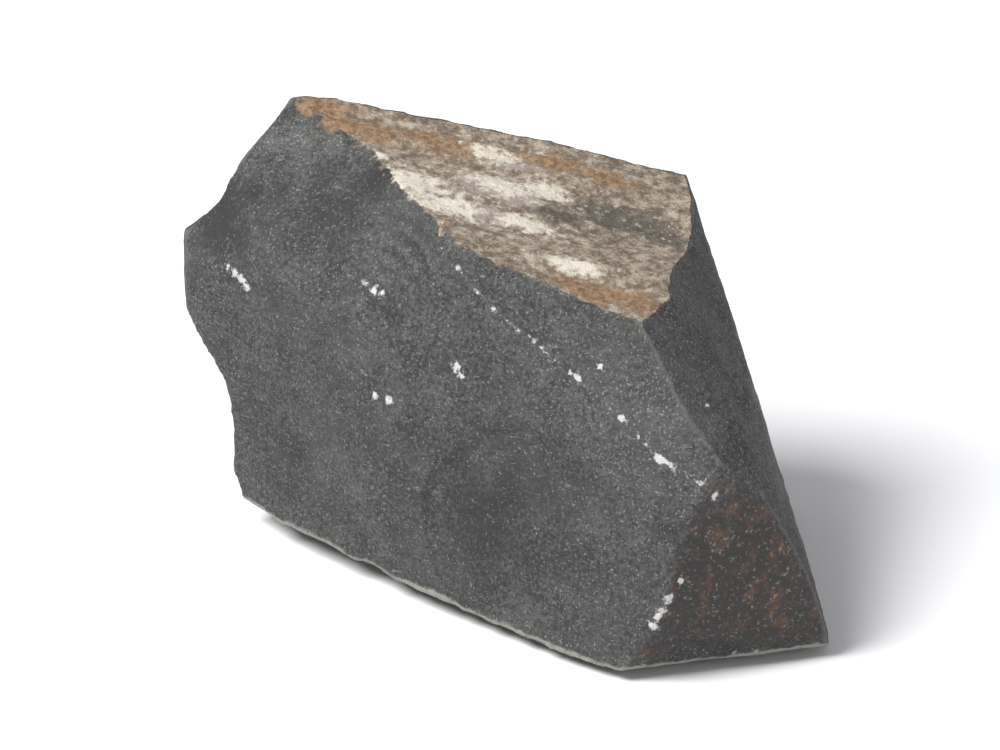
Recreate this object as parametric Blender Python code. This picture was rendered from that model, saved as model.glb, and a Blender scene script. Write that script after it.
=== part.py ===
"""Raw black jade: one broken stone, black where it is freshly split, with weathered rind on top and below.

Lengths are in metres. X runs along the stone's length, Y runs away from the broken front, and Z is up.
The stone starts as a block. Each break is a rippled sheet that takes away everything on the side that
it faces, so the edges are where two breaks meet, as on the real stone.
"""

import math

import bmesh
import bpy
from mathutils import Matrix, Vector, noise

# Driving dimensions

BLOCK_SIZE = Vector((0.096, 0.080, 0.070))  # the block that the breaks are cut into
BLOCK_CENTRE = Vector((0.000, 0.002, 0.028))
SHEET_HALF = (0.060, 0.060)  # how far a break's cutter reaches along and up, past the block's corners
SHEET_THICKNESS = 0.060  # how far it reaches outward
FINE_CELL = 0.0020  # the size of a cell of the sheets that are seen most
COARSE_CELL = 0.0028
UP = Vector((0.0, 0.0, 1.0))
BACKWARD = Vector((0.0, 1.0, 0.0))

# Each break has a place, a facing and, where it is bent, how far it falls away from its middle along and
# up the face at one reach from there, below zero where it rises instead, and how much it twists

# Front: the large fresh face, a little bowed, and twisted so that its foot turns to the left

FRONT_PLACE = Vector((-0.0053, -0.0094, 0.0220))
FRONT_FACING = Vector((-0.581, -0.808, 0.102))
FRONT_BOW = (0.0023, 0.0024)
FRONT_TWIST = -0.0053
FRONT_REACH = 0.030

SHOULDER_PLACE = Vector((-0.0193, 0.0085, 0.0448))  # the scar at the upper left, which leans back
SHOULDER_FACING = Vector((-0.505, -0.611, 0.610))
SHOULDER_BOW = (-0.0018, 0.0035)
SHOULDER_TWIST = 0.0034
SHOULDER_REACH = 0.018
SHOULDER_HALF = (0.030, 0.022)  # it bends in beyond this, where it would cut the front again

RIGHT_FACET_PLACE = Vector((0.0218, -0.0182, 0.0344))  # the smooth narrow facet above right
RIGHT_FACET_FACING = Vector((0.681, -0.399, 0.614))

RUST_FACET_PLACE = Vector((0.0272, -0.0239, 0.0092))  # the stained facet below right
RUST_FACET_FACING = Vector((0.322, -0.947, -0.010))
RUST_FACET_BOW = (0.0, 0.0011)
RUST_FACET_REACH = 0.015

LIP_PLACE = Vector((0.0180, -0.0257, 0.0040))  # the undercut chip along the foot of the stained facet
LIP_FACING = Vector((0.220, -0.900, -0.375))

# The flake that came off the left tip: the foot and the top of the step that it left, and its tip

FLAKE_STEP_FOOT = Vector((-0.0294, 0.0100, 0.0386))
FLAKE_STEP_TOP = Vector((-0.0305, 0.0201, 0.0482))
FLAKE_TIP = Vector((-0.0379, 0.0176, 0.0356))
FLAKE_DEPTH = 0.0008
FLAKE_HALF = (0.0100, 0.0140)
FLAKE_HOLLOW = (-0.0009, -0.0002)

# Hollows in the front, each with a place, its reach along and up the break, and its depth

FRONT_HOLLOWS = (
    (Vector((-0.0252, 0.0080, 0.0170)), (0.0075, 0.0085), 0.0009),  # shallow, near the left edge
    (Vector((0.0010, -0.0140, 0.0150)), (0.0150, 0.0120), 0.0008),  # wide, with an arched upper edge
    (Vector((0.0255, -0.0248, 0.0285)), (0.0055, 0.0080), 0.0021),  # where it turns back to the right facet
    (Vector((0.0150, -0.0205, 0.0320)), (0.0090, 0.0045), -0.0008),  # the swelling along the vein
    (Vector((-0.0190, 0.0020, 0.0340)), (0.0040, 0.0070), -0.0004),  # the low ridge below the shoulder
    (Vector((-0.0250, 0.0085, 0.0030)), (0.0080, 0.0030), -0.0007),  # the foot, flared at the left
)
SHOULDER_HOLLOWS = (
    (Vector((-0.0100, -0.0008, 0.0450)), (0.0040, 0.0050), 0.0009),  # the ribbed scoop at the edge
    (Vector((-0.0148, 0.0135, 0.0512)), (0.0045, 0.0045), 0.0010),  # the bay where the edge turns
)

# Weathered rind: the sloping top, and the underside with the spot that the stone rests on

TOP_PLACE = Vector((-0.0075, -0.0020, 0.0480))
TOP_FACING = Vector((0.164, -0.132, 1.000))
TOP_HOLLOWS = (
    (Vector((0.0140, 0.0050, 0.0453)), (0.0110, 0.0050), 0.0012),  # the long trough on the right
    (Vector((-0.0060, 0.0140, 0.0500)), (0.0090, 0.0035), 0.0006),
)
STREAK_TURN = math.radians(-14.0)  # the direction of the rind's streaks, which run down to the right
STREAK_STRETCH = 3.0

REST_CENTRE = Vector((0.0045, 0.0060))  # the flat spot, an ellipse on the underside
REST_RADII = (0.0160, 0.0110)
REST_FADE = 0.4  # the underside lifts over this share of the spot's radii
REST_LIFT = 0.0011  # how far the underside's right rim is above the surface
TOE_LIFT = 0.0019  # how much more it lifts towards the left end
TOE_START = 0.012
TOE_LENGTH = 0.044
REST_UNEVENNESS = ((0.3, 0.0045),)  # how unevenly it lifts, as a share of the lift and a length of waves

# Hidden sides, finished as fresh breaks

RIGHT_SIDE_PLACE = Vector((0.0314, 0.0000, 0.0255))
RIGHT_SIDE_FACING = Vector((0.921, -0.079, 0.380))
RIGHT_SIDE_BOW = (0.0008, 0.0036)
RIGHT_SIDE_TWIST = 0.0038
RIGHT_SIDE_REACH = 0.025
RIGHT_BACK_PLACE = Vector((0.0317, -0.0115, 0.0233))
RIGHT_BACK_FACING = Vector((0.957, 0.086, 0.276))
BACK_TOP_PLACE = Vector((-0.0010, 0.0229, 0.0502))
BACK_TOP_FACING = Vector((0.200, 0.900, 0.420))
BACK_TOP_BOW = (0.0006, 0.0008)
BACK_TOP_REACH = 0.020
BACK_FOOT_PLACE = Vector((0.0030, 0.0300, 0.0220))
BACK_FOOT_FACING = Vector((0.060, 0.995, -0.080))
BACK_FOOT_BOW = (0.0008, 0.0008)
BACK_FOOT_REACH = 0.020
BACK_SCAR_PLACE = Vector((0.0180, 0.0285, 0.0150))  # a shell-shaped scar low on the back
BACK_SCAR_FACING = Vector((0.420, 0.880, -0.220))
BACK_SCAR_BOW = (-0.0020, -0.0022)
BACK_SCAR_REACH = 0.016
LEFT_HOLLOW_PLACE = Vector((-0.0333, 0.0168, 0.0130))  # the side below the left tip, hollowed under it
LEFT_HOLLOW_FACING = Vector((-0.620, 0.770, 0.150))
LEFT_HOLLOW_START = 0.0066
LEFT_HOLLOW_SLOPE = 0.98
LEFT_HOLLOW_SOFTNESS = 0.0012
LEFT_HEEL_PLACE = Vector((-0.0327, 0.0180, 0.0058))
LEFT_HEEL_FACING = Vector((-0.620, 0.770, -0.300))
LEFT_TIP_PLACE = Vector((-0.0380, 0.0185, 0.0340))
LEFT_TIP_FACING = Vector((-0.990, -0.100, 0.060))
LEFT_TOP_PLACE = Vector((-0.0305, 0.0201, 0.0482))  # the side above the left tip, hollowed down to it
LEFT_TOP_FACING = Vector((-0.806, 0.366, 0.465))
LEFT_TOP_START = 0.0088
LEFT_TOP_SLOPE = 0.45
LEFT_TOP_SOFTNESS = 0.0006

# Relief: how much each kind of surface waves, as height and length of the waves

FRESH_WAVES = ((0.00030, 0.0130), (0.00012, 0.0050))
RIND_WAVES = ((0.00045, 0.0090), (0.00028, 0.0040))
NO_WAVES = ()


def material(name, colour, roughness):
    made = bpy.data.materials.new(name)
    made.use_nodes = True
    shader = made.node_tree.nodes["Principled BSDF"]
    shader.inputs["Base Color"].default_value = (*colour, 1.0)
    shader.inputs["Roughness"].default_value = roughness
    shader.inputs["Metallic"].default_value = 0.0
    return made


def smooth_step(share):
    share = min(max(share, 0.0), 1.0)
    return share * share * (3.0 - 2.0 * share)


def waves(u, v, kinds, seed):
    """The height of the waves at a point of a sheet."""
    return sum(height * noise.noise(Vector((u / length, v / length, seed))) for height, length in kinds)


def bent(bow=(0.0, 0.0), twist=0.0, reach=1.0):
    """A sheet that falls away from its middle by bow at one reach, or rises where bow is below zero."""

    def height(u, v):
        return (twist * u * v - bow[0] * u * u - bow[1] * v * v) / reach**2

    return height


def flared(start, slope, softness):
    """A sheet that is flat up to start and then rises outward, with a soft bend between."""

    def height(u, v):
        return slope * softness * math.log1p(math.exp((v - start) / softness))

    return height


def streaked(u, v):
    """A point of the rind, drawn together along the streaks so that the waves come out long there."""
    along = u * math.cos(STREAK_TURN) + v * math.sin(STREAK_TURN)
    across = v * math.cos(STREAK_TURN) - u * math.sin(STREAK_TURN)
    return along / STREAK_STRETCH, across


def underside(u, v):
    """Level with the surface at the flat spot, and above it all round, most at the left end.

    The sheet faces down, so its u runs against X and its height is how far it is below the surface.
    """
    x, y = -u, v
    away = math.hypot((x - REST_CENTRE.x) / REST_RADII[0], (y - REST_CENTRE.y) / REST_RADII[1]) - 1.0
    rim = smooth_step(away / REST_FADE)
    toe = smooth_step((TOE_START - x) / TOE_LENGTH)
    rough = 1.0 + waves(x, y, REST_UNEVENNESS, 9.0)
    return -rim * rough * (REST_LIFT + TOE_LIFT * toe)


def turned_to(facing, up):
    """The turn that takes Z to the facing and Y as near as it can to up."""
    outward = facing.normalized()
    along = up.cross(outward).normalized()
    return Matrix((along, outward.cross(along), outward)).transposed()


def hollow_depth(u, v, middle, reach, depth):
    """The depth of a soft hollow at a point of a sheet."""
    return depth * math.exp(-(((u - middle.x) / reach[0]) ** 2) - ((v - middle.y) / reach[1]) ** 2)


def sheet(name, place, facing, look, shape=bent(), hollows=(), relief=FRESH_WAVES, stretch=None, seed=0.0,
          up=UP, half=SHEET_HALF, cell=COARSE_CELL):
    """A closed cutter whose lower side is the break: a bent and rippled grid, made thick outward."""
    turn = turned_to(facing, up)
    middles = [(turn.inverted() @ (spot - place), reach, depth) for spot, reach, depth in hollows]
    grid = bmesh.new()
    counts = [round(2 * side / cell) for side in half]
    bmesh.ops.create_grid(grid, x_segments=counts[0], y_segments=counts[1], size=1.0)
    for vertex in grid.verts:
        u, v = vertex.co.x * half[0], vertex.co.y * half[1]
        rippled = stretch(u, v) if stretch else (u, v)
        height = shape(u, v) + waves(*rippled, relief, seed)
        height -= sum(hollow_depth(u, v, *hollow) for hollow in middles)
        vertex.co = (u, v, height)
    extruded = bmesh.ops.extrude_face_region(grid, geom=grid.faces[:])
    lifted = [item for item in extruded["geom"] if isinstance(item, bmesh.types.BMVert)]
    bmesh.ops.translate(grid, verts=lifted, vec=(0.0, 0.0, SHEET_THICKNESS))
    bmesh.ops.triangulate(grid, faces=grid.faces[:])
    bmesh.ops.recalc_face_normals(grid, faces=grid.faces[:])
    mesh = bpy.data.meshes.new(name)
    grid.to_mesh(mesh)
    grid.free()
    mesh.materials.append(look)
    cutter = bpy.data.objects.new(name, mesh)
    cutter.matrix_world = Matrix.Translation(place) @ turn.to_4x4()
    return cutter


def break_off(stone, cutter):
    """Cuts the stone with one break, whose surface brings its own material."""
    cutter.hide_render = True
    cutter.display_type = "WIRE"
    breaks.objects.link(cutter)
    cut = stone.modifiers.new(cutter.name, "BOOLEAN")
    cut.operation = "DIFFERENCE"
    cut.solver = "EXACT"
    cut.material_mode = "TRANSFER"
    cut.object = cutter


def block():
    """The rough block, before anything is broken off."""
    bpy.ops.mesh.primitive_cube_add(size=1.0, location=BLOCK_CENTRE)
    stone = bpy.context.object
    stone.name = "black_jade_stone"
    stone.data.transform(Matrix.Diagonal((*BLOCK_SIZE, 1.0)))
    for collection in stone.users_collection:
        collection.objects.unlink(stone)
    parts.objects.link(stone)
    stone.data.materials.append(fresh)
    return stone


def front_breaks():
    """The breaks that the front is made of, all fresh."""
    yield sheet("front", FRONT_PLACE, FRONT_FACING, fresh, bent(FRONT_BOW, FRONT_TWIST, FRONT_REACH),
                FRONT_HOLLOWS, seed=1.0, cell=FINE_CELL)
    yield sheet("shoulder", SHOULDER_PLACE, SHOULDER_FACING, fresh,
                bent(SHOULDER_BOW, SHOULDER_TWIST, SHOULDER_REACH), SHOULDER_HOLLOWS, seed=12.0,
                half=SHOULDER_HALF, cell=FINE_CELL)
    yield sheet("right_facet", RIGHT_FACET_PLACE, RIGHT_FACET_FACING, fresh, seed=11.0)
    yield sheet("rust_facet", RUST_FACET_PLACE, RUST_FACET_FACING, fresh,
                bent(RUST_FACET_BOW, 0.0, RUST_FACET_REACH), seed=10.0, cell=FINE_CELL)
    yield sheet("lip", LIP_PLACE, LIP_FACING, fresh, seed=14.0)


def left_flake():
    """The flake off the left tip: a small hollow sheet whose right side is the step, a little way in."""
    along_step = FLAKE_STEP_TOP - FLAKE_STEP_FOOT
    inward = FLAKE_DEPTH * along_step.cross(FLAKE_STEP_FOOT - FLAKE_TIP).normalized()
    facing = along_step.cross(FLAKE_TIP - FLAKE_STEP_FOOT - inward).normalized()
    rightward = along_step.cross(facing).normalized()
    place = (FLAKE_STEP_FOOT + FLAKE_STEP_TOP) / 2 + inward - FLAKE_HALF[0] * rightward
    return sheet("left_flake", place, facing, fresh, bent(FLAKE_HOLLOW, 0.0, FLAKE_HALF[0]), seed=15.0,
                 up=along_step, half=FLAKE_HALF, cell=FINE_CELL)


def rind_breaks():
    """The weathered surfaces: the top and the underside."""
    yield sheet("top", TOP_PLACE, TOP_FACING, rind, hollows=TOP_HOLLOWS, relief=RIND_WAVES, stretch=streaked,
                seed=2.0, up=BACKWARD, cell=FINE_CELL)
    yield sheet("underside", Vector((0.0, 0.0, 0.0)), -UP, rind, underside, relief=NO_WAVES, up=BACKWARD,
                cell=FINE_CELL)


def hidden_breaks():
    """The sides that face away, as plain fresh breaks."""
    yield sheet("right_side", RIGHT_SIDE_PLACE, RIGHT_SIDE_FACING, fresh,
                bent(RIGHT_SIDE_BOW, RIGHT_SIDE_TWIST, RIGHT_SIDE_REACH), seed=3.0)
    yield sheet("right_back", RIGHT_BACK_PLACE, RIGHT_BACK_FACING, fresh, seed=16.0)
    yield sheet("back_top", BACK_TOP_PLACE, BACK_TOP_FACING, fresh, bent(BACK_TOP_BOW, 0.0, BACK_TOP_REACH),
                seed=4.0)
    yield sheet("back_foot", BACK_FOOT_PLACE, BACK_FOOT_FACING, fresh,
                bent(BACK_FOOT_BOW, 0.0, BACK_FOOT_REACH), seed=5.0)
    yield sheet("back_scar", BACK_SCAR_PLACE, BACK_SCAR_FACING, fresh,
                bent(BACK_SCAR_BOW, 0.0, BACK_SCAR_REACH), seed=17.0)
    yield sheet("left_hollow", LEFT_HOLLOW_PLACE, LEFT_HOLLOW_FACING, fresh,
                flared(LEFT_HOLLOW_START, LEFT_HOLLOW_SLOPE, LEFT_HOLLOW_SOFTNESS), seed=6.0)
    yield sheet("left_heel", LEFT_HEEL_PLACE, LEFT_HEEL_FACING, fresh, seed=18.0)
    yield sheet("left_tip", LEFT_TIP_PLACE, LEFT_TIP_FACING, fresh, seed=7.0)
    yield sheet("left_top", LEFT_TOP_PLACE, LEFT_TOP_FACING, fresh,
                flared(LEFT_TOP_START, LEFT_TOP_SLOPE, LEFT_TOP_SOFTNESS), seed=8.0, up=-UP)


def stand_on_origin(everything):
    """Moves the stone and its cutters together, so that the stone stands on the origin."""
    bpy.context.view_layer.update()
    shape = stone.evaluated_get(bpy.context.evaluated_depsgraph_get())
    corners = [shape.matrix_world @ vertex.co for vertex in shape.data.vertices]
    low = Vector([min(corner[axis] for corner in corners) for axis in range(3)])
    high = Vector([max(corner[axis] for corner in corners) for axis in range(3)])
    shift = Vector(((low.x + high.x) / 2, (low.y + high.y) / 2, low.z))
    for thing in everything:
        thing.location -= shift
    print("stone", [round(side, 5) for side in high - low], "moved by", [round(s, 5) for s in shift])


for old in list(bpy.data.objects):
    bpy.data.objects.remove(old)

parts = bpy.data.collections.new("raw_black_jade")
breaks = bpy.data.collections.new("breaks")
bpy.context.scene.collection.children.link(parts)
bpy.context.scene.collection.children.link(breaks)

fresh = material("fresh black jade", (0.055, 0.056, 0.062), 0.75)
rind = material("weathered rind", (0.34, 0.25, 0.16), 0.9)

stone = block()
for cutter in (*front_breaks(), left_flake(), *hidden_breaks(), *rind_breaks()):
    break_off(stone, cutter)

stand_on_origin([stone, *breaks.objects])
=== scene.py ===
# %% [markdown]
# Raw black jade. The real thing is one broken stone: black and finely sugary where it is freshly split,
# brown and rough where the weather has worked on its rind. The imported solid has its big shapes. This
# script adds the small ones, the colours, the light and the camera, one step to a cell.

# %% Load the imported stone
import math

import bmesh
import bpy
import numpy as np
from mathutils import Matrix, Vector, noise
from mathutils.bvhtree import BVHTree


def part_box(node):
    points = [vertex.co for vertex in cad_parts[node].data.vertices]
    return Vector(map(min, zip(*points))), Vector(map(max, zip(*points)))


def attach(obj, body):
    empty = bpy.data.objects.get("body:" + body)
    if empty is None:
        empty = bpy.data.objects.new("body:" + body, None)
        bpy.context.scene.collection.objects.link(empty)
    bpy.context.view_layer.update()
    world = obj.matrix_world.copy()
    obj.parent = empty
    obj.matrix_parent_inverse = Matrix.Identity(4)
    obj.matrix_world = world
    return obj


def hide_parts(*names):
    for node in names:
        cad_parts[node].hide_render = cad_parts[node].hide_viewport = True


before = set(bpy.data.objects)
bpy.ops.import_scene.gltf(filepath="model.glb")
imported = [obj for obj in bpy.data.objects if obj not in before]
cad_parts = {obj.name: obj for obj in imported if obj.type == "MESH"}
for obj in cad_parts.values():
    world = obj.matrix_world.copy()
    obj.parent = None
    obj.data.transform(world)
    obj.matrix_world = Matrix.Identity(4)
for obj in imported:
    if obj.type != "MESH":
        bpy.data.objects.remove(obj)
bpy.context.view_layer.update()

MM = 0.001
STONE = "black_jade_stone"
low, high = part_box(STONE)
print("stone", [round(side / MM, 1) for side in high - low], "mm")

# %% [markdown]
# The photograph's camera. Marks such as the white vein are easiest to place where the photograph shows
# them. So the script keeps the place and the turn of the camera that took it, sends a ray through a
# point of the picture, and asks where the ray meets the stone. The mark then sits on the surface in
# space, and is right from every side.

# %% The photograph's camera
PHOTO_SIZE = (1000, 750)  # pixels
PHOTO_FOCAL = 2648.75  # the focal length in pixels
PHOTO_PLACE = Vector((0.00223, -0.62142, 0.31361))
PHOTO_HEADING = math.radians(-7.45)
PHOTO_PITCH = math.radians(24.948)
PHOTO_ROLL = math.radians(2.561)
SAME_POINT = 0.001 * MM  # corners of the solid that are closer than this are one corner
FRONT_MIDDLE = (160, 380)  # a mark, which is a column and a row of the photograph

photo_turn = (Matrix.Rotation(PHOTO_HEADING, 3, "Z")
              @ Matrix.Rotation(math.pi / 2 - PHOTO_PITCH, 3, "X")
              @ Matrix.Rotation(PHOTO_ROLL, 3, "Z"))

solid = bmesh.new()
solid.from_mesh(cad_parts[STONE].data)
bmesh.ops.remove_doubles(solid, verts=solid.verts[:], dist=SAME_POINT)
surface = BVHTree.FromBMesh(solid)


def seen_at(column, row):
    """The point of the stone at a mark, or the nearest point where the mark just misses the stone."""
    across = (column - PHOTO_SIZE[0] / 2) / PHOTO_FOCAL
    up = (PHOTO_SIZE[1] / 2 - row) / PHOTO_FOCAL
    direction = (photo_turn @ Vector((across, up, -1.0))).normalized()
    point = surface.ray_cast(PHOTO_PLACE, direction)[0]
    if point is None:
        near = PHOTO_PLACE + direction * PHOTO_PLACE.length
        point = surface.find_nearest(near)[0]
    return point


print("the middle of the front is at", [round(c / MM, 1) for c in seen_at(*FRONT_MIDDLE)], "mm")

# %% [markdown]
# The skin. The solid has a few thousand large triangles, and its small relief is left out. A real break
# has grain and ripples. Bump alone would leave the outline smooth, so the script makes a copy with an
# even mesh of fine cells, which the voxel remesher gives, and later moves its points by noise.

# %% A fine copy of the solid
CELL = 0.46 * MM
SOFTENING = 0.5  # takes the remesher's small steps away

weld = bpy.data.meshes.new("stone_skin")
solid.to_mesh(weld)
skin = bpy.data.objects.new("stone_skin", weld)
bpy.context.scene.collection.objects.link(skin)
even = skin.modifiers.new("even cells", "REMESH")
even.mode = "VOXEL"
even.voxel_size = CELL
soften = skin.modifiers.new("soften the cells", "SMOOTH")
soften.factor = SOFTENING
soften.iterations = 1
bpy.context.view_layer.update()
fine = bpy.data.meshes.new_from_object(skin.evaluated_get(bpy.context.evaluated_depsgraph_get()))
skin.modifiers.clear()
skin.data = fine
count = len(fine.vertices)

points = np.empty(count * 3)
fine.vertices.foreach_get("co", points)
points = points.reshape(-1, 3)
normals = np.empty(count * 3, dtype=np.float32)
fine.vertex_normals.foreach_get("vector", normals)
normals = normals.reshape(-1, 3).astype(float)
print("fine skin:", count, "points,", 2 * len(fine.polygons), "triangles")

# %% [markdown]
# Fields. A field is one number for each point of the skin, such as how much rind there is. Fields are
# made from where a point is and which way it faces. The relief uses them here, and the material reads
# them later, so that colour and shape agree.

# %% Helpers for fields
STREAK = Vector((0.965, -0.235, -0.190)).normalized()  # the rind's streaks run down to the right


def soft_step(values, start, end):
    """0 at start, 1 at end, and a soft rise between them."""
    share = np.clip((values - start) / (end - start), 0.0, 1.0)
    return share * share * (3.0 - 2.0 * share)


def ripple(length, seed, stretch=1.0):
    """Smooth noise from -1 to 1, drawn out along the streaks by stretch."""
    along = points @ np.array(STREAK)
    drawn = points - np.outer(along * (1.0 - 1.0 / stretch), np.array(STREAK))
    return np.array([noise.noise(place) for place in (drawn / length + seed).tolist()])


def spot(column, row, reach, flat=1.0):
    """A soft spot round a mark, flat times as long along the streaks."""
    away = points - np.array(seen_at(column, row))
    along = away @ np.array(STREAK)
    across = np.maximum((away**2).sum(axis=1) - along**2, 0.0)
    return np.exp(-(along / (reach * flat))**2 - across / reach**2)


ends = np.empty(2 * len(fine.edges), dtype=np.int32)
fine.edges.foreach_get("vertices", ends)
ends = ends.reshape(-1, 2)
neighbours = np.bincount(ends.ravel(), minlength=count).astype(float)


def spread(values, times):
    """A field that is averaged with the points next to each point, several times over."""
    for _ in range(times):
        total = np.bincount(ends[:, 0], values[ends[:, 1]], count)
        total += np.bincount(ends[:, 1], values[ends[:, 0]], count)
        values = 0.5 * values + 0.5 * total / neighbours
    return values


def line_distance(marks):
    """How far each point is from a line through marks."""
    places = [np.array(seen_at(*mark)) for mark in marks]
    nearest = np.full(count, np.inf)
    for start, end in zip(places, places[1:]):
        leg = end - start
        share = np.clip((points - start) @ leg / (leg @ leg), 0.0, 1.0)
        away = points - start - np.outer(share, leg)
        nearest = np.minimum(nearest, np.sqrt((away**2).sum(axis=1)))
    return nearest


print("a point has", round(float(neighbours.mean()), 1), "points next to it")

# %% [markdown]
# Rind and fresh stone. On the real stone, rind is left on the top and on the underside, and all the rest
# is broken. Both kinds of rind can be told by the way they face, which also makes their edges follow the
# stone's own edges. In places the top's rind runs a little way down the front.

# %% Where the rind is
TOP_FACING = np.array((0.160, -0.129, 0.979))
TOP_LIKENESS = (0.82, 0.93)  # how nearly a point faces as the top does, where its rind starts and is full
TOP_LOWEST = 38.0 * MM
TOP_PLACE = np.array((-0.0075, -0.0040, 0.0480))  # a point of the top
UNDER_LIKENESS = (0.45, 0.75)  # the same for facing down
UNDER_HIGHEST = 7.0 * MM
FADE = 2.0 * MM  # the height over which rind starts or ends
SPILL = 2.6 * MM  # how far below the top rind can be left on the front
SPILL_LEVEL = 0.5
SPILL_FACING = (0.1, 0.4)  # the same for facing the front
SPILLS = ((210, 314, 1.8 * MM), (222, 323, 2.3 * MM), (233, 328, 2.2 * MM), (243, 325, 1.8 * MM),
          (118, 254, 1.2 * MM), (150, 293, 1.2 * MM))  # column, row and reach
SPILLS_LEVEL = 0.85
RIND_SPREAD = 4  # rounds of averaging, which take the solid's small teeth out of the rind's edge
RIM_SPREAD = 14  # rounds of averaging, which carry the rim as far as it is wide
RIM_RANGE = (0.04, 0.30)  # how much of the underside is near, where the rim starts and is full
RIM_FACING = (-0.2, 0.2)  # the rim is at the front only

above_top = (points - TOP_PLACE) @ TOP_FACING
top_rind = soft_step(normals @ TOP_FACING, *TOP_LIKENESS)
top_rind = top_rind * soft_step(points[:, 2], TOP_LOWEST, TOP_LOWEST + FADE)
spilt = SPILL_LEVEL * soft_step(above_top, -SPILL, 0.0) * soft_step(-normals[:, 1], *SPILL_FACING)
top_rind = np.maximum(top_rind, spilt)
for column, row, reach in SPILLS:
    top_rind = np.maximum(top_rind, SPILLS_LEVEL * spot(column, row, reach))
under_rind = soft_step(-normals[:, 2], *UNDER_LIKENESS)
under_rind = under_rind * (1.0 - soft_step(points[:, 2], UNDER_HIGHEST - FADE, UNDER_HIGHEST))
top_rind = spread(top_rind, RIND_SPREAD)
under_rind = spread(under_rind, RIND_SPREAD)
rind = np.maximum(top_rind, under_rind)
near_under = soft_step(spread(under_rind, RIM_SPREAD), *RIM_RANGE)
rim = near_under * (1.0 - under_rind) * soft_step(-normals[:, 1], *RIM_FACING)
print("rind covers", round(100 * float(rind.mean())), "percent of the points")

# %% [markdown]
# Grain. Fresh jade breaks with a fine, sugary surface, and rind is pitted and streaked. Each is a sum of
# noises of a few lengths. The fresh one is folded at its middle, which gives the sharp crests of a
# break. The one of the rind is drawn out along the streaks.

# %% Grain of the fresh breaks and of the rind
FRESH_NOISES = ((9.0 * MM, 0.50 * MM), (4.0 * MM, 0.26 * MM), (1.8 * MM, 0.14 * MM),
                (1.0 * MM, 0.07 * MM))  # length and height
RIND_NOISES = ((5.0 * MM, 0.40 * MM), (2.4 * MM, 0.34 * MM), (1.2 * MM, 0.20 * MM))
RIND_STRETCH = 2.4
FRESH_SEED = 3.0
RIND_SEED = 40.0
SEED_STEP = 7.0

fresh_relief = np.zeros(count)
for order, (length, height) in enumerate(FRESH_NOISES):
    fresh_relief += height * (0.5 - np.abs(ripple(length, FRESH_SEED + SEED_STEP * order)))
rind_relief = np.zeros(count)
for order, (length, height) in enumerate(RIND_NOISES):
    rind_relief += height * ripple(length, RIND_SEED + SEED_STEP * order, RIND_STRETCH)
print("grain: fresh", round(float(np.ptp(fresh_relief)) / MM, 2), "mm from lowest to highest, rind",
      round(float(np.ptp(rind_relief)) / MM, 2), "mm")

# %% [markdown]
# Ribs and scar. A break leaves ribs, which are rings round the place where the blow ran from: a cosine
# of the distance from that place gives them. The middle of the front has a scar with a crisp arched
# edge. It is a shallow step where the distance from the scar's middle, with a little noise in it so that
# the arch isn't a true circle, passes its reach. Inside the arch the step fades out again.

# %% Ribs and the arched scar
RIB_ORIGIN = (108, 352)  # a mark
RIB_MIDDLE = (137, 303)
RIB_REACH = 5.0 * MM
RIB_LENGTH = 2.1 * MM
RIB_HEIGHT = 0.22 * MM
SCAR_MIDDLE = (188, 442)
SCAR_REACH = 15.0 * MM
SCAR_DEPTH = 0.30 * MM
SCAR_WANDER = 1.2 * MM  # how far the arch strays from a circle
SCAR_WANDER_LENGTH = 6.0 * MM
SCAR_SEED = 90.0
SCAR_TOWARDS = np.array((-0.55, 0.30, 0.75))  # the arch is on this side of the scar's middle
SCAR_SIDE = (-6.0 * MM, 4.0 * MM)  # how far to that side it starts and is full
SCAR_STEP = 0.9 * MM  # the width of the step
SCAR_FADE = (1.0 * MM, 9.0 * MM)  # how far inside the arch the step begins to fade and is gone

from_origin = np.sqrt(((points - np.array(seen_at(*RIB_ORIGIN)))**2).sum(axis=1))
ribs = np.cos(2 * math.pi * from_origin / RIB_LENGTH) * spot(*RIB_MIDDLE, RIB_REACH) * RIB_HEIGHT

from_scar = points - np.array(seen_at(*SCAR_MIDDLE))
wander = SCAR_WANDER * ripple(SCAR_WANDER_LENGTH, SCAR_SEED)
inside_arch = SCAR_REACH - (np.sqrt((from_scar**2).sum(axis=1)) + wander)
scar_side = soft_step(from_scar @ SCAR_TOWARDS, *SCAR_SIDE)
arch = SCAR_DEPTH * soft_step(inside_arch, 0.0, SCAR_STEP) * scar_side
arch = arch * (1.0 - soft_step(inside_arch, *SCAR_FADE))
print("ribs up to", round(float(ribs.max()) / MM, 2), "mm, arch down to",
      round(float(arch.max()) / MM, 2), "mm")

# %% [markdown]
# Relief. All of it moves the points along the way they face. The heights are lowered until nearly all
# of them are cuts, and the box of the solid bounds the rest, because the skin must not grow out of the
# solid that it stands for. The flat spot that the stone rests on stays as it is.

# %% The skin with its relief
HIGHEST_PERCENT = 99.5  # so much of the relief is cut inward
REST_KEPT = 0.25 * MM  # below this height the underside stays as it is
REST_FADE = 1.2 * MM

relief = (1.0 - rind) * (fresh_relief + ribs - arch) + rind * rind_relief
relief = relief - max(float(np.percentile(relief, HIGHEST_PERCENT)), 0.0)
relief = relief * soft_step(points[:, 2], REST_KEPT, REST_FADE)
moved = np.clip(points + normals * relief[:, None], np.array(low), np.array(high))
fine.vertices.foreach_set("co", moved.ravel())
fine.update()
print("relief from", round(float(relief.min()) / MM, 2), "to", round(float(relief.max()) / MM, 2), "mm")
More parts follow.
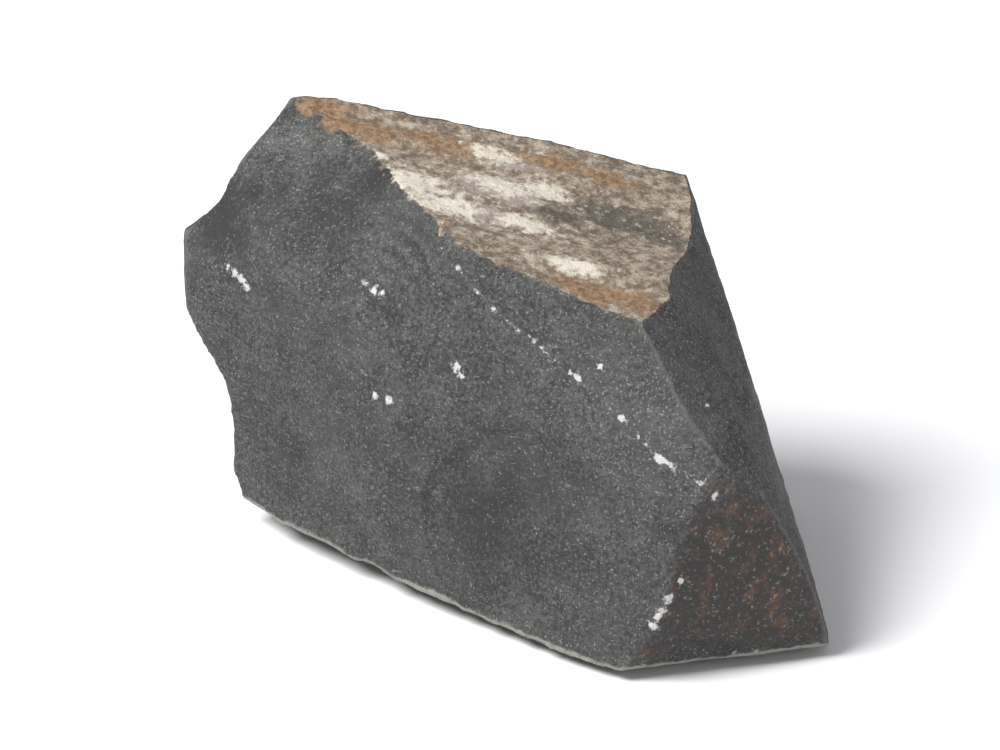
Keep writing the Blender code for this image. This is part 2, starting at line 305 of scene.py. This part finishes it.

# %% [markdown]
# Edges. Where two breaks meet, the edge is bruised and looks a little paler. An edge is where a point
# stands out from the average of the points round it, so the field compares the plain skin with a
# smoothed copy of itself. A crease is where the point lies deeper than that average: little light gets
# in there, so the creases get painted shade.

# %% Bruised edges, and creases for painted shade
SMOOTHINGS = 28  # rounds of averaging for the smoothed copy
EDGE_RANGE = (0.10 * MM, 0.42 * MM)  # how far a point stands out where an edge starts and is full
CREASE_RANGE = (0.02 * MM, 0.22 * MM)

smoothed = np.stack([spread(points[:, axis], SMOOTHINGS) for axis in range(3)], axis=1)
standing_out = ((points - smoothed) * normals).sum(axis=1)
edge = soft_step(standing_out, *EDGE_RANGE)
crease = soft_step(-standing_out, *CREASE_RANGE) * (1.0 - rind)
print("edges cover", round(100 * float((edge > 0.5).mean()), 1), "percent of the points")

# %% [markdown]
# Painted light and shade on the break. Its colour is painted lighter where light falls: in a band along
# the vein, on a low ridge and in a painted highlight below the rim at the top left. It is painted darker
# where
# shade falls: in the scar at the left, in the hollows, in the creases, and in a painted shadow towards
# the right end. Soft spots say so, and the ribs and the arched scar get a little painted shading of their
# own, which makes them easier to see.

# %% Painted light and shade on the fresh stone
PAINTED_LIGHT_AND_SHADE_SPOTS = (  # column, row, reach, and how much painted light (more) or painted shade (less)
    (48, 278, 3.0 * MM, -0.55), (44, 292, 2.6 * MM, -0.45), (56, 297, 1.8 * MM, -0.45),
    (59, 276, 1.5 * MM, -0.40), (75, 398, 6.5 * MM, -0.12), (98, 282, 5.5 * MM, -0.26),
    (170, 432, 9.0 * MM, -0.14), (250, 385, 8.5 * MM, 0.30), (205, 352, 5.0 * MM, 0.14),
    (112, 350, 3.6 * MM, 0.16), (126, 375, 3.0 * MM, 0.12), (276, 362, 3.2 * MM, -0.20),
    (286, 392, 3.0 * MM, -0.22), (300, 466, 8.0 * MM, -0.40), (280, 450, 7.0 * MM, -0.25),
    (121, 269, 2.2 * MM, -0.40), (70, 252, 1.8 * MM, 0.50), (84, 251, 1.8 * MM, 0.50),
    (99, 254, 1.8 * MM, 0.50),
)
RIGHT_FACET = np.array((0.681, -0.399, 0.614))  # the way that the facet above right faces
RIGHT_LIKENESS = (0.93, 0.98)  # how nearly a point faces so, where the painted light starts and is full
RIGHT_FACET_PAINTED_LIGHT = 0.08
CREASE_PAINTED_SHADE = 0.55
RIB_PAINTED_SHADING = 0.22
SCAR_PAINTED_SHADE = 0.22
SCAR_SHADE_STEP = 1.2 * MM
SCAR_SHADE_SPOT = (180, 425, 12.0 * MM)

# painted light on the facet above right, painted shade in the creases, then the spots
painted_light_and_shade = RIGHT_FACET_PAINTED_LIGHT * soft_step(normals @ RIGHT_FACET, *RIGHT_LIKENESS) - CREASE_PAINTED_SHADE * crease
for column, row, reach, amount in PAINTED_LIGHT_AND_SHADE_SPOTS:
    painted_light_and_shade += amount * spot(column, row, reach)
# painted light on the ribs' crests and painted shade between them, and painted shade inside the arched
# scar
painted_light_and_shade += RIB_PAINTED_SHADING * ribs / RIB_HEIGHT
within_arch = soft_step(inside_arch, 0.0, SCAR_SHADE_STEP) * scar_side
painted_light_and_shade -= SCAR_PAINTED_SHADE * within_arch * spot(*SCAR_SHADE_SPOT)
print("tone from", round(float(painted_light_and_shade.min()), 2), "to", round(float(painted_light_and_shade.max()), 2))

# %% [markdown]
# White marks. A broken white vein runs down the front to the right, as a row of dots and dashes, and a
# few white chips lie elsewhere. The field is high along the vein and at each chip. The material breaks
# it up with noise, so the dashes get ragged edges.

# %% The white vein and the white chips
VEIN = ((150, 302), (158, 312), (174, 331), (193, 346), (213, 363), (234, 381), (251, 400), (271, 411),
        (278, 418))
VEIN_WIDTH = 0.36 * MM
VEIN_LEVEL = 0.58  # low, so that the vein comes and goes
CHIPS = (  # column, row and reach
    (158, 312, 0.50 * MM), (174, 331, 0.55 * MM), (193, 346, 0.60 * MM), (213, 363, 0.60 * MM),
    (234, 381, 0.60 * MM), (251, 400, 0.95 * MM), (258, 404, 0.60 * MM), (271, 411, 0.70 * MM),
    (277, 417, 0.70 * MM), (114, 318, 0.70 * MM), (118, 321, 0.75 * MM), (122, 323, 0.70 * MM),
    (146, 318, 0.50 * MM), (156, 357, 1.10 * MM), (159, 361, 0.80 * MM), (119.5, 370.5, 0.75 * MM),
    (125.5, 372.5, 0.75 * MM), (224, 357, 0.50 * MM), (274, 375, 0.50 * MM), (50, 311, 0.85 * MM),
    (53, 314, 0.90 * MM), (56, 317, 0.90 * MM), (58, 320, 0.80 * MM), (249, 477, 0.90 * MM),
    (252, 471, 1.05 * MM), (256, 464, 0.90 * MM), (262, 456, 0.45 * MM), (274, 490, 0.50 * MM),
    (286, 489, 0.50 * MM), (296, 488, 0.45 * MM),
)
CHIP_LEVEL = 0.85

white = VEIN_LEVEL * np.exp(-(line_distance(VEIN) / VEIN_WIDTH)**2)
for column, row, reach in CHIPS:
    white = np.maximum(white, CHIP_LEVEL * spot(column, row, reach))
print(len(CHIPS), "chips,", int((white > 0.5).sum()), "points are white")

# %% [markdown]
# Rust. Iron in the stone has stained the facet below the right end, a place just above it, and a chip
# at its foot. The facet is told by the way it faces, so the stain stops at its edge.

# %% Where the rust is
RUST_FACING = np.array((0.322, -0.947, -0.010))  # the way that the stained facet faces
RUST_LIKENESS = (0.90, 0.97)
RUST_FACET = (290, 458, 14.0 * MM)  # column, row and reach
RUST_MARKS = ((249, 488, 1.8 * MM, 1.0), (277, 432, 2.6 * MM, 0.9))  # and how strong it is

rust = soft_step(normals @ RUST_FACING, *RUST_LIKENESS) * spot(*RUST_FACET)
for column, row, reach, amount in RUST_MARKS:
    rust = np.maximum(rust, amount * spot(column, row, reach))
print("rust covers", round(100 * float((rust > 0.5).mean()), 1), "percent of the points")

# %% [markdown]
# Patches of rind. The top has orange-brown patches, cream crystals, warm grey places, and dark-green
# patches of painted shade where the rind is hollow, all drawn out along the streaks. Each kind is one
# field. Every field then becomes an attribute of the mesh, which is how the material can read it.

# %% Patches of the rind, and the fields as attributes
ORANGE = ((92, 235, 2.4 * MM, 2.0), (104, 243, 2.6 * MM, 2.4), (118, 247, 2.2 * MM, 2.2),
          (150, 252, 2.2 * MM, 3.2), (200, 262, 1.8 * MM, 3.0), (228, 270, 1.6 * MM, 3.0),
          (222, 322, 2.4 * MM, 2.2), (240, 326, 2.2 * MM, 1.8),
          (210, 316, 1.4 * MM, 2.0))  # column, row, reach, and how many times as long along the streaks
CREAM = ((138, 270, 3.0 * MM, 1.8), (152, 280, 2.8 * MM, 1.8), (172, 257, 1.6 * MM, 2.6),
         (180, 272, 2.4 * MM, 2.2), (197, 274, 1.8 * MM, 2.2), (190, 290, 1.8 * MM, 2.4),
         (212, 309, 1.8 * MM, 2.2), (121, 257, 1.1 * MM, 1.2), (124, 268, 0.9 * MM, 1.2))
# dark-green patches of painted shade where the rind is hollow
SHADED_HOLLOW_PATCHES = ((230, 288, 2.6 * MM, 3.0), (252, 296, 2.0 * MM, 2.4), (205, 287, 1.8 * MM, 2.0))
WARM_GREY = ((178, 274, 2.6 * MM, 2.2), (165, 283, 1.8 * MM, 2.0), (186, 262, 1.4 * MM, 3.0))


def patches(spots):
    """One field that is high at each of the spots."""
    highest = np.zeros(count)
    for column, row, reach, flat in spots:
        highest = np.maximum(highest, spot(column, row, reach, flat))
    return highest


FIELDS = {"edge": edge, "top_rind": top_rind, "under_rind": under_rind, "rim": rim, "painted_light_and_shade": painted_light_and_shade,
          "white": white, "rust": rust, "orange": patches(ORANGE), "cream": patches(CREAM),
          "dark": patches(SHADED_HOLLOW_PATCHES), "warm_grey": patches(WARM_GREY)}
for name, values in FIELDS.items():
    layer = fine.attributes.new(name, "FLOAT", "POINT")
    layer.data.foreach_set("value", values.astype(np.float32))
print("fields:", ", ".join(FIELDS))

# %% [markdown]
# The material. It starts from the grey of fresh stone and lays one finish over another: rust, rind with
# its patches, the pale rim, and the white marks last. Each layer is mixed in by its field, roughened by
# noise so that no edge is smooth. Helpers keep the node tree readable.

# %% Helpers for nodes
EDGE_DETAIL = 4.0  # of the noise that makes an edge ragged
EDGE_ROUGHNESS = 0.65
EDGE_SHIFT = 5.0

look = bpy.data.materials.new("broken black jade")
look.use_nodes = True
tree = look.node_tree
shader = tree.nodes["Principled BSDF"]
place = tree.nodes.new("ShaderNodeTexCoord").outputs["Object"]


def feed(socket, value):
    """Links a socket to an output, or sets it to a constant."""
    if isinstance(value, bpy.types.NodeSocket):
        tree.links.new(value, socket)
    else:
        socket.default_value = value


def field(name):
    """One of the skin's fields, as the material reads it."""
    node = tree.nodes.new("ShaderNodeAttribute")
    node.attribute_name = name
    return node.outputs["Fac"]


def grain(length, detail, roughness, shift=0.0, turn=(0.0, 0.0, 0.0), stretch=(1.0, 1.0, 1.0)):
    """Noise from 0 to 1 whose lumps are about as long as length. Turn and stretch make lines of them."""
    drawn = tree.nodes.new("ShaderNodeMapping")
    drawn.inputs["Location"].default_value = (shift, shift, shift)
    drawn.inputs["Rotation"].default_value = turn
    drawn.inputs["Scale"].default_value = stretch
    feed(drawn.inputs["Vector"], place)
    node = tree.nodes.new("ShaderNodeTexNoise")
    feed(node.inputs["Vector"], drawn.outputs["Vector"])
    node.inputs["Scale"].default_value = 1.0 / length
    node.inputs["Detail"].default_value = detail
    node.inputs["Roughness"].default_value = roughness
    return node.outputs["Fac"]


def combined(kind, a, b):
    """Two values put together by a kind of reckoning, such as ADD."""
    node = tree.nodes.new("ShaderNodeMath")
    node.operation = kind
    feed(node.inputs[0], a)
    feed(node.inputs[1], b)
    return node.outputs[0]


def plus(a, b):
    return combined("ADD", a, b)


def times(a, b):
    return combined("MULTIPLY", a, b)


def rising(value, start, end, most=1.0):
    """0 up to start, most from end on, and a soft rise between them."""
    node = tree.nodes.new("ShaderNodeMapRange")
    node.interpolation_type = "SMOOTHSTEP"
    feed(node.inputs["Value"], value)
    node.inputs["From Min"].default_value = start
    node.inputs["From Max"].default_value = end
    node.inputs["To Min"].default_value = 0.0
    node.inputs["To Max"].default_value = most
    return node.outputs["Result"]


def laid_over(below, above, share):
    """A colour with a share of another colour over it."""
    node = tree.nodes.new("ShaderNodeMix")
    node.data_type = "RGBA"
    feed(node.inputs["Factor"], share)
    feed(node.inputs[6], below)  # the colour sockets, which share their names with other kinds
    feed(node.inputs[7], above)
    return node.outputs[2]


def ragged(name, length, soft, rough, level=0.5):
    """A field cut off at level, with an edge that noise has roughened."""
    lumps = plus(grain(length, EDGE_DETAIL, EDGE_ROUGHNESS, EDGE_SHIFT), -0.5)
    return rising(plus(field(name), times(lumps, rough)), level - soft, level + soft)


print("material", look.name, "has the shader", shader.name)

# %% [markdown]
# Fresh stone. Its grey is dark, with a greenish tint in places. Clouds a few millimetres wide vary it,
# the field of painted light and shade lightens and darkens it, and tiny pale grains, partly painted
# glints, give the sugary sparkle. All of it is noise in space, so it runs on over the edges as it does in
# a real stone.

# %% Colour of the fresh stone
FRESH_DARK = (0.0185, 0.0180, 0.0175, 1.0)
FRESH_LIGHT = (0.0760, 0.0755, 0.0735, 1.0)
GREENISH = (0.042, 0.047, 0.043, 1.0)
SPECK = (0.26, 0.26, 0.255, 1.0)
PAINTED_SHADING_WEIGHT = 0.9  # how much the painted light and shade counts beside the clouds
SUGAR_WEIGHT = 2.4
MORE_GLINTS_IN_PAINTED_LIGHT = 0.12  # there are more pale grains, partly painted glints, where the painted light is

clouds_and_painted_shading = plus(grain(5.0 * MM, detail=5.0, roughness=0.6), times(field("painted_light_and_shade"), PAINTED_SHADING_WEIGHT))
sugar = times(plus(grain(0.50 * MM, detail=3.0, roughness=0.7, shift=2.0), -0.5), SUGAR_WEIGHT)
colour = laid_over(FRESH_DARK, FRESH_LIGHT, rising(plus(clouds_and_painted_shading, sugar), start=0.10, end=0.95))
green = grain(11.0 * MM, detail=2.0, roughness=0.5, shift=8.0)
colour = laid_over(colour, GREENISH, rising(green, start=0.48, end=0.70, most=0.45))
speck_noise = grain(0.30 * MM, detail=1.5, roughness=0.6, shift=11.0)
pale_grains_and_painted_glints = rising(plus(speck_noise, times(field("painted_light_and_shade"), MORE_GLINTS_IN_PAINTED_LIGHT)), start=0.60, end=0.70)
print("fresh stone:", len(tree.nodes), "nodes")

# %% [markdown]
# Lines of the break. A break in such stone leaves fine dark lines, which run with it, and short pale
# scratches across them. Both are noise that is stretched one way. The pale grains, partly painted glints,
# lie between the two, and bruised edges come last.

# %% Lines, pale grains with painted glints, and bruised edges
BRUISED = (0.110, 0.112, 0.110, 1.0)
HACKLE_TURN = (0.0, math.radians(35.0), 0.0)
HACKLE_STRETCH = (0.28, 0.28, 1.0)  # dark lines, about four times as long as wide
SCRATCH_TURN = (0.0, math.radians(-50.0), 0.0)
SCRATCH_STRETCH = (0.22, 0.6, 1.0)
SPECK_SHARE = 0.50
BRUISE_SHARE = 0.7

hackles = grain(1.1 * MM, detail=4.0, roughness=0.65, turn=HACKLE_TURN, stretch=HACKLE_STRETCH)
colour = laid_over(colour, FRESH_DARK, rising(hackles, start=0.50, end=0.68, most=0.5))
# pale grains, partly painted glints of the sugary sparkle
colour = laid_over(colour, SPECK, times(pale_grains_and_painted_glints, SPECK_SHARE))
scratches = grain(0.55 * MM, detail=4.0, roughness=0.65, turn=SCRATCH_TURN, stretch=SCRATCH_STRETCH)
colour = laid_over(colour, SPECK, rising(scratches, start=0.62, end=0.74, most=0.55))
bruises = ragged("edge", 0.9 * MM, soft=0.30, rough=1.1, level=0.62)
colour = laid_over(colour, BRUISED, times(bruises, BRUISE_SHARE))
print("with its lines:", len(tree.nodes), "nodes")

# %% [markdown]
# Rust stain. The stained facet is brown-black, with spots of rust-red and a few pale grains in it. Noise
# of much detail gives spots of many sizes, as rust has.

# %% Colour of the rust
RUST_GROUND = (0.030, 0.026, 0.0245, 1.0)
RUST_RED = (0.125, 0.058, 0.038, 1.0)

red_spots = grain(2.2 * MM, detail=7.0, roughness=0.75, shift=21.0)
rust_colour = laid_over(RUST_GROUND, RUST_RED, rising(red_spots, start=0.50, end=0.66, most=0.9))
rust_grains = grain(0.5 * MM, detail=3.0, roughness=0.7, shift=25.0)
rust_colour = laid_over(rust_colour, SPECK, rising(rust_grains, start=0.56, end=0.70, most=0.7))
colour = laid_over(colour, rust_colour, ragged("rust", 2.2 * MM, soft=0.40, rough=1.4))
print("with rust:", len(tree.nodes), "nodes")

# %% [markdown]
# Rind of the top. A brown-grey ground, with the warm grey, orange, painted-shade and cream patches laid
# over it in turn, and last the pale grains and dark pits that are all over it. A little orange also runs
# over the edge onto the fresh stone.

# %% Colour of the rind on top
RIND_GROUND = (0.130, 0.095, 0.068, 1.0)
RIND_PALE = (0.440, 0.370, 0.295, 1.0)
WARM_GREY_COLOUR = (0.300, 0.255, 0.235, 1.0)
ORANGE_BROWN = (0.320, 0.205, 0.115, 1.0)
ORANGE_DEEP = (0.140, 0.082, 0.046, 1.0)
DARK_GREEN = (0.060, 0.058, 0.047, 1.0)
CREAM_WHITE = (0.660, 0.610, 0.520, 1.0)
HOLLOW_SHADE_SHARE = 0.8
CREAM_SHARE = 0.9
RUNNING_OVER = 0.75

mottle = grain(1.6 * MM, detail=7.0, roughness=0.78, shift=31.0)
top_colour = laid_over(RIND_GROUND, RIND_PALE, rising(mottle, start=0.40, end=0.66))
greys = ragged("warm_grey", 1.4 * MM, soft=0.40, rough=1.8)
top_colour = laid_over(top_colour, WARM_GREY_COLOUR, greys)
orange_mottle = grain(0.9 * MM, detail=5.0, roughness=0.75, shift=34.0)
orange = laid_over(ORANGE_DEEP, ORANGE_BROWN, rising(orange_mottle, start=0.36, end=0.62))
top_colour = laid_over(top_colour, orange, ragged("orange", 1.5 * MM, soft=0.40, rough=2.2))
# painted shade where the rind is hollow
hollow_shade = ragged("dark", 1.5 * MM, soft=0.42, rough=2.0)
top_colour = laid_over(top_colour, DARK_GREEN, times(hollow_shade, HOLLOW_SHADE_SHARE))
crystals = ragged("cream", 1.1 * MM, soft=0.34, rough=2.6, level=0.55)
top_colour = laid_over(top_colour, CREAM_WHITE, times(crystals, CREAM_SHARE))
pale_grains = grain(0.7 * MM, detail=3.0, roughness=0.6, shift=37.0)
top_colour = laid_over(top_colour, CREAM_WHITE, rising(pale_grains, start=0.60, end=0.72, most=0.45))
dark_pits = grain(0.9 * MM, detail=4.0, roughness=0.65, shift=39.0)
top_colour = laid_over(top_colour, DARK_GREEN, rising(dark_pits, start=0.60, end=0.74, most=0.6))

top_share = ragged("top_rind", 2.0 * MM, soft=0.10, rough=1.1)
colour = laid_over(colour, top_colour, top_share)
run_over = ragged("orange", 2.0 * MM, soft=0.20, rough=2.0, level=0.66)
colour = laid_over(colour, orange, times(run_over, RUNNING_OVER))
print("with the rind on top:", len(tree.nodes), "nodes")

# %% [markdown]
# Rind of the underside and the pale rim. Below, the rind is dark olive-brown with spots of rust, and
# along the bottom edge of the front it shows as a thin pale line.

# %% Colour of the underside and of the rim
UNDER_GROUND = (0.070, 0.066, 0.046, 1.0)
UNDER_PALE = (0.165, 0.165, 0.130, 1.0)
RIM_PALE = (0.270, 0.280, 0.240, 1.0)
RIM_SHARE = 0.8

under_mottle = grain(3.2 * MM, detail=6.0, roughness=0.7, shift=51.0)
under_colour = laid_over(UNDER_GROUND, UNDER_PALE, rising(under_mottle, start=0.46, end=0.70))
under_spots = grain(2.2 * MM, detail=5.0, roughness=0.65, shift=54.0)
under_colour = laid_over(under_colour, RUST_RED, rising(under_spots, start=0.57, end=0.68, most=0.9))
under_share = ragged("under_rind", 1.3 * MM, soft=0.12, rough=0.5, level=0.45)
colour = laid_over(colour, under_colour, under_share)
rim_share = ragged("rim", 1.4 * MM, soft=0.25, rough=1.3)
colour = laid_over(colour, RIM_PALE, times(rim_share, RIM_SHARE))
print("with the rind below:", len(tree.nodes), "nodes")

# %% [markdown]
# White marks come last, over everything. Then the shader gets its colour, a roughness that is lower on
# the pale grains, so that they glint, and bump for the grain that is too fine for the mesh.

# %% White marks, roughness and bump
WHITE = (0.50, 0.50, 0.485, 1.0)
ROUGHNESS = 0.66
GLINT = 0.26  # how much smoother the pale grains are
RIND_ROUGHER = 0.24
SPECULAR = 0.42
BUMP_DEPTH = 0.34 * MM
PIT_WEIGHT = 1.6  # how deep the rind's pits are beside the grain

white_share = ragged("white", 0.9 * MM, soft=0.16, rough=1.9, level=0.60)
colour = laid_over(colour, WHITE, white_share)
feed(shader.inputs["Base Color"], colour)

rind_share = combined("MAXIMUM", top_share, field("under_rind"))
fresh_roughness = combined("SUBTRACT", ROUGHNESS, times(pale_grains_and_painted_glints, GLINT))
feed(shader.inputs["Roughness"], plus(fresh_roughness, times(rind_share, RIND_ROUGHER)))
shader.inputs["Specular IOR Level"].default_value = SPECULAR

fine_bump = grain(0.75 * MM, detail=5.0, roughness=0.70, shift=61.0)
wide_bump = grain(2.2 * MM, detail=4.0, roughness=0.6, shift=64.0)
pits = times(grain(1.4 * MM, detail=6.0, roughness=0.75, shift=67.0), PIT_WEIGHT)
bump = tree.nodes.new("ShaderNodeBump")
bump.inputs["Strength"].default_value = 1.0
bump.inputs["Distance"].default_value = BUMP_DEPTH
feed(bump.inputs["Height"], plus(plus(fine_bump, wide_bump), times(pits, rind_share)))
feed(shader.inputs["Normal"], bump.outputs["Normal"])
print("the whole material:", len(tree.nodes), "nodes")

# %% [markdown]
# The skin takes the solid's place. It is the stone's only piece, so it stands for the whole solid. It
# rides on the root body, takes the material, and the solid is hidden.

# %% The skin in place of the solid
fine.materials.clear()
fine.materials.append(look)
fine.polygons.foreach_set("use_smooth", [True] * len(fine.polygons))
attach(skin, "root")
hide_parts(STONE)
solid.free()
print(skin.name, "replaces", STONE)

# %% [markdown]
# Floor and light. Such stones are photographed in a light tent, so light comes from everywhere and
# shadows are faint. A pale world gives that. A large soft lamp above left gives the forms some shape,
# and a weaker one lifts the facets at the right out of the dark.

# %% Floor, world and lamps
FLOOR_SIZE = 6.0
PAPER = (0.80, 0.80, 0.81, 1.0)
PAPER_ROUGHNESS = 0.8
TENT = (0.97, 0.98, 1.0, 1.0)
TENT_STRENGTH = 0.40  # pale, so that the lamps still give the forms some shape
LAMPS = (("lamp_above_left", (-0.55, -0.30, 0.80), 16.5, 0.45),
         ("lamp_right", (0.90, -0.60, 0.30), 3.4, 0.5))  # name, place, watts, and side of the square

bpy.ops.mesh.primitive_plane_add(size=FLOOR_SIZE)
floor = bpy.context.object
floor.name = "pale_floor"
paper = bpy.data.materials.new("pale paper")
paper.use_nodes = True
paper_shader = paper.node_tree.nodes["Principled BSDF"]
paper_shader.inputs["Base Color"].default_value = PAPER
paper_shader.inputs["Roughness"].default_value = PAPER_ROUGHNESS
floor.data.materials.append(paper)

world = bpy.data.worlds.new("light tent")
bpy.context.scene.world = world
world.use_nodes = True
background = world.node_tree.nodes["Background"]
background.inputs["Color"].default_value = TENT
background.inputs["Strength"].default_value = TENT_STRENGTH

middle = (high + low) / 2
for name, lamp_place, power, side in LAMPS:
    lamp_data = bpy.data.lights.new(name, "AREA")
    lamp_data.energy = power
    lamp_data.size = side
    lamp = bpy.data.objects.new(name, lamp_data)
    lamp.location = lamp_place
    lamp.rotation_mode = "QUATERNION"
    lamp.rotation_quaternion = (middle - Vector(lamp_place)).to_track_quat("-Z", "Y")
    bpy.context.scene.collection.objects.link(lamp)
bpy.context.scene.view_settings.view_transform = "Standard"
print(len(LAMPS), "lamps shine on", [round(c / MM, 1) for c in middle], "mm")

# %% [markdown]
# The camera stands where the photograph's camera stood and turns the shortest way to the stone, so the
# stone is seen and tilted just as in the photograph. The lens is longer, and the stone fills the frame.

# %% Camera
SENSOR = 36.0  # millimetres
LENS = 208.0
NEAREST_SEEN = 0.01  # metres
FARTHEST_SEEN = 20.0

ahead = photo_turn @ Vector((0.0, 0.0, -1.0))
to_stone = (middle - PHOTO_PLACE).normalized()
camera_data = bpy.data.cameras.new("camera")
camera_data.lens = LENS
camera_data.sensor_width = SENSOR
camera_data.clip_start = NEAREST_SEEN
camera_data.clip_end = FARTHEST_SEEN
camera = bpy.data.objects.new("camera", camera_data)
bpy.context.scene.collection.objects.link(camera)
camera.rotation_mode = "QUATERNION"
camera.location = PHOTO_PLACE
camera.rotation_quaternion = ahead.rotation_difference(to_stone) @ photo_turn.to_quaternion()
bpy.context.scene.camera = camera
print("the camera is", round((middle - PHOTO_PLACE).length, 3), "m from the stone's middle")
